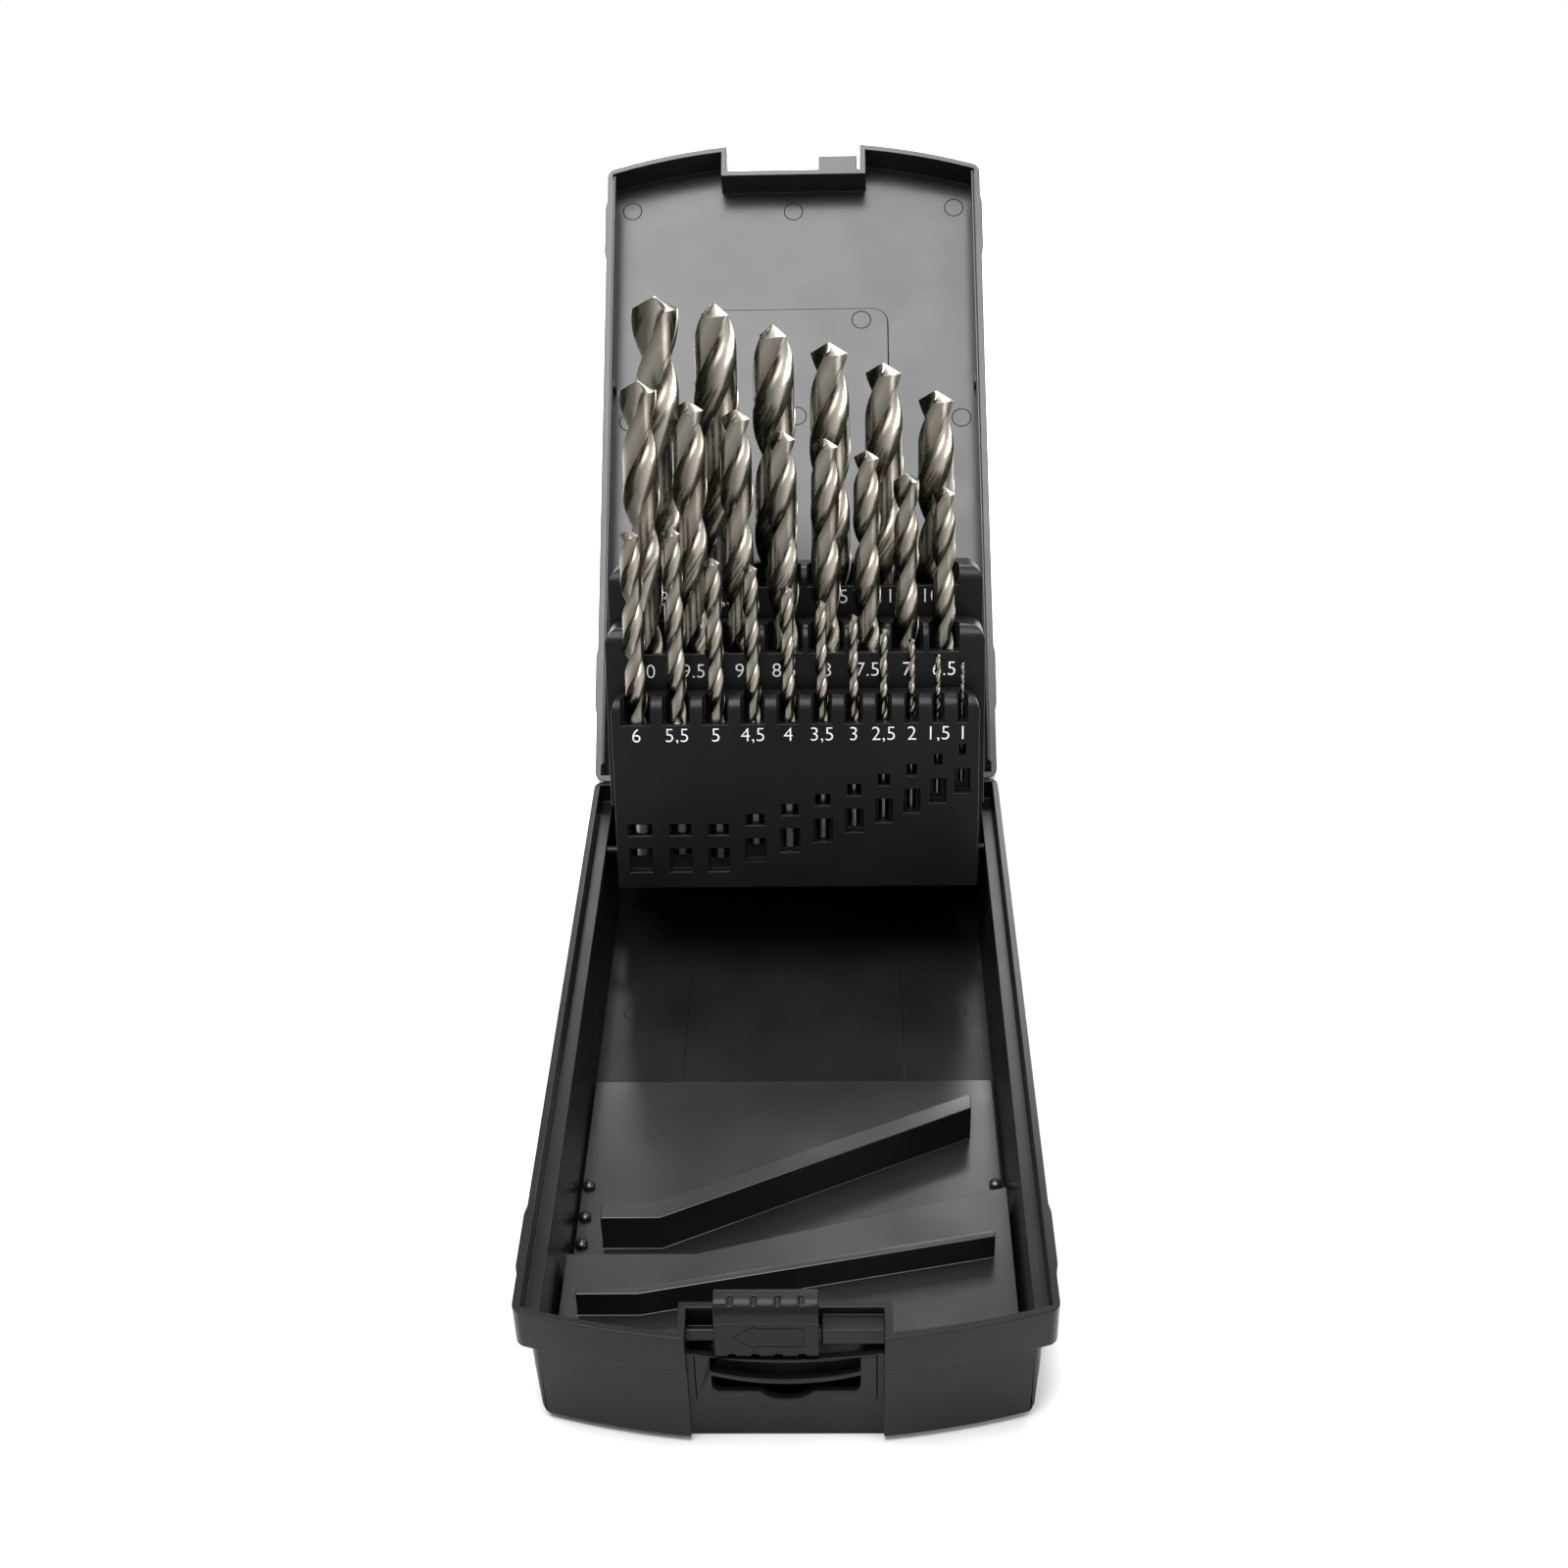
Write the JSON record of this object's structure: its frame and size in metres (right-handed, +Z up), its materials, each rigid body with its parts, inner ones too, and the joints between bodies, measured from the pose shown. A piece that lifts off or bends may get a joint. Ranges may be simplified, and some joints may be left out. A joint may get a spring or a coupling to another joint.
{
  "type": "drill bit case",
  "caption": "Flat hinged case for twist drills: moulded tray and lid, sliding latch, tilting drill racks and a ribbed stop insert.",
  "frame": {"origin": "on the floor under the middle of the tray", "axes": "+X to the right seen from the latch side, +Y to the hinge, +Z up"},
  "size_m": [0.121, 0.3795, 0.1748],
  "materials": {
    "black_plastic": "satin",
    "drill_steel": "ground",
    "pin_steel": "plain"
  },
  "bodies": {
    "base": {"base_tray": "black_plastic", "hinge_pins": "pin_steel", "drill_stop_insert": "black_plastic", "insert_pegs": "black_plastic"},
    "lid": {"lid_shell": "black_plastic"},
    "latch": {"slide_latch": "black_plastic"},
    "rack_slider": {"rack_pins": "pin_steel"},
    "small_rack": {"holder_small": "black_plastic"},
    "medium_rack": {"holder_medium": "black_plastic"},
    "large_rack": {"holder_large": "black_plastic"},
    "drill_6_0_body": {"drill_6_0": "drill_steel"},
    "drill_5_5_body": {"drill_5_5": "drill_steel"},
    "drill_5_0_body": {"drill_5_0": "drill_steel"},
    "drill_4_5_body": {"drill_4_5": "drill_steel"},
    "drill_4_0_body": {"drill_4_0": "drill_steel"},
    "drill_3_5_body": {"drill_3_5": "drill_steel"},
    "drill_3_0_body": {"drill_3_0": "drill_steel"},
    "drill_2_5_body": {"drill_2_5": "drill_steel"},
    "drill_2_0_body": {"drill_2_0": "drill_steel"},
    "drill_1_5_body": {"drill_1_5": "drill_steel"},
    "drill_1_0_body": {"drill_1_0": "drill_steel"},
    "drill_10_0_body": {"drill_10_0": "drill_steel"},
    "drill_9_5_body": {"drill_9_5": "drill_steel"},
    "drill_9_0_body": {"drill_9_0": "drill_steel"},
    "drill_8_5_body": {"drill_8_5": "drill_steel"},
    "drill_8_0_body": {"drill_8_0": "drill_steel"},
    "drill_7_5_body": {"drill_7_5": "drill_steel"},
    "drill_7_0_body": {"drill_7_0": "drill_steel"},
    "drill_6_5_body": {"drill_6_5": "drill_steel"},
    "drill_13_0_body": {"drill_13_0": "drill_steel"},
    "drill_12_5_body": {"drill_12_5": "drill_steel"},
    "drill_12_0_body": {"drill_12_0": "drill_steel"},
    "drill_11_5_body": {"drill_11_5": "drill_steel"},
    "drill_11_0_body": {"drill_11_0": "drill_steel"},
    "drill_10_5_body": {"drill_10_5": "drill_steel"}
  },
  "joints": [
    {"name": "lid_hinge", "type": "hinge", "parent": "base", "child": "lid", "pos_m": [0, 0.1068, 0.0357], "axis": [-1, 0, 0], "range_deg": [-139, 0]},
    {"name": "latch_slide", "type": "slide", "parent": "base", "child": "latch", "axis": [1, 0, 0], "range_m": [0, 0.0134]},
    {"name": "rack_slide", "type": "slide", "parent": "base", "child": "rack_slider", "axis": [0, 1, 0], "range_m": [-0.02, 0]},
    {"name": "small_rack_hinge", "type": "hinge", "parent": "rack_slider", "child": "small_rack", "pos_m": [0, 0.08264, 0.0278], "axis": [-1, 0, 0], "range_deg": [-105, 0]},
    {"name": "medium_rack_hinge", "type": "hinge", "parent": "rack_slider", "child": "medium_rack", "pos_m": [0, 0.08264, 0.0278], "axis": [-1, 0, 0], "range_deg": [-107.5, 0]},
    {"name": "large_rack_hinge", "type": "hinge", "parent": "rack_slider", "child": "large_rack", "pos_m": [0, 0.08264, 0.0278], "axis": [-1, 0, 0], "range_deg": [-110.5, 0]},
    {"name": "drill_6_0_slide", "type": "slide", "parent": "small_rack", "child": "drill_6_0_body", "axis": [0, 0.2588, 0.9659], "range_m": [0, 0.0486]},
    {"name": "drill_5_5_slide", "type": "slide", "parent": "small_rack", "child": "drill_5_5_body", "axis": [0, 0.2588, 0.9659], "range_m": [0, 0.0483]},
    {"name": "drill_5_0_slide", "type": "slide", "parent": "small_rack", "child": "drill_5_0_body", "axis": [0, 0.2588, 0.9659], "range_m": [0, 0.0496]},
    {"name": "drill_4_5_slide", "type": "slide", "parent": "small_rack", "child": "drill_4_5_body", "axis": [0, 0.2588, 0.9659], "range_m": [0, 0.0455]},
    {"name": "drill_4_0_slide", "type": "slide", "parent": "small_rack", "child": "drill_4_0_body", "axis": [0, 0.2588, 0.9659], "range_m": [0, 0.0466]},
    {"name": "drill_3_5_slide", "type": "slide", "parent": "small_rack", "child": "drill_3_5_body", "axis": [0, 0.2588, 0.9659], "range_m": [0, 0.0457]},
    {"name": "drill_3_0_slide", "type": "slide", "parent": "small_rack", "child": "drill_3_0_body", "axis": [0, 0.2588, 0.9659], "range_m": [0, 0.0406]},
    {"name": "drill_2_5_slide", "type": "slide", "parent": "small_rack", "child": "drill_2_5_body", "axis": [0, 0.2588, 0.9659], "range_m": [0, 0.0407]},
    {"name": "drill_2_0_slide", "type": "slide", "parent": "small_rack", "child": "drill_2_0_body", "axis": [0, 0.2588, 0.9659], "range_m": [0, 0.0356]},
    {"name": "drill_1_5_slide", "type": "slide", "parent": "small_rack", "child": "drill_1_5_body", "axis": [0, 0.2588, 0.9659], "range_m": [0, 0.0311]},
    {"name": "drill_1_0_slide", "type": "slide", "parent": "small_rack", "child": "drill_1_0_body", "axis": [0, 0.2588, 0.9659], "range_m": [0, 0.0276]},
    {"name": "drill_10_0_slide", "type": "slide", "parent": "medium_rack", "child": "drill_10_0_body", "axis": [0, 0.3007, 0.9537], "range_m": [0, 0.0677]},
    {"name": "drill_9_5_slide", "type": "slide", "parent": "medium_rack", "child": "drill_9_5_body", "axis": [0, 0.3007, 0.9537], "range_m": [0, 0.0653]},
    {"name": "drill_9_0_slide", "type": "slide", "parent": "medium_rack", "child": "drill_9_0_body", "axis": [0, 0.3007, 0.9537], "range_m": [0, 0.0679]},
    {"name": "drill_8_5_slide", "type": "slide", "parent": "medium_rack", "child": "drill_8_5_body", "axis": [0, 0.3007, 0.9537], "range_m": [0, 0.0657]},
    {"name": "drill_8_0_slide", "type": "slide", "parent": "medium_rack", "child": "drill_8_0_body", "axis": [0, 0.3007, 0.9537], "range_m": [0, 0.068]},
    {"name": "drill_7_5_slide", "type": "slide", "parent": "medium_rack", "child": "drill_7_5_body", "axis": [0, 0.3007, 0.9537], "range_m": [0, 0.0634]},
    {"name": "drill_7_0_slide", "type": "slide", "parent": "medium_rack", "child": "drill_7_0_body", "axis": [0, 0.3007, 0.9537], "range_m": [0, 0.0698]},
    {"name": "drill_6_5_slide", "type": "slide", "parent": "medium_rack", "child": "drill_6_5_body", "axis": [0, 0.3007, 0.9537], "range_m": [0, 0.0657]},
    {"name": "drill_13_0_slide", "type": "slide", "parent": "large_rack", "child": "drill_13_0_body", "axis": [0, 0.3502, 0.9367], "range_m": [0, 0.078]},
    {"name": "drill_12_5_slide", "type": "slide", "parent": "large_rack", "child": "drill_12_5_body", "axis": [0, 0.3502, 0.9367], "range_m": [0, 0.0802]},
    {"name": "drill_12_0_slide", "type": "slide", "parent": "large_rack", "child": "drill_12_0_body", "axis": [0, 0.3502, 0.9367], "range_m": [0, 0.0862]},
    {"name": "drill_11_5_slide", "type": "slide", "parent": "large_rack", "child": "drill_11_5_body", "axis": [0, 0.3502, 0.9367], "range_m": [0, 0.0823]},
    {"name": "drill_11_0_slide", "type": "slide", "parent": "large_rack", "child": "drill_11_0_body", "axis": [0, 0.3502, 0.9367], "range_m": [0, 0.0881]},
    {"name": "drill_10_5_slide", "type": "slide", "parent": "large_rack", "child": "drill_10_5_body", "axis": [0, 0.3502, 0.9367], "range_m": [0, 0.0869]}
  ],
  "couplings": [
    {"joint": "rack_slide", "follows": "lid_hinge", "m_per_rad": 0.0082432},
    {"joint": "small_rack_hinge", "follows": "lid_hinge", "ratio": 0.75532},
    {"joint": "medium_rack_hinge", "follows": "lid_hinge", "ratio": 0.7733},
    {"joint": "large_rack_hinge", "follows": "lid_hinge", "ratio": 0.79488}
  ]
}
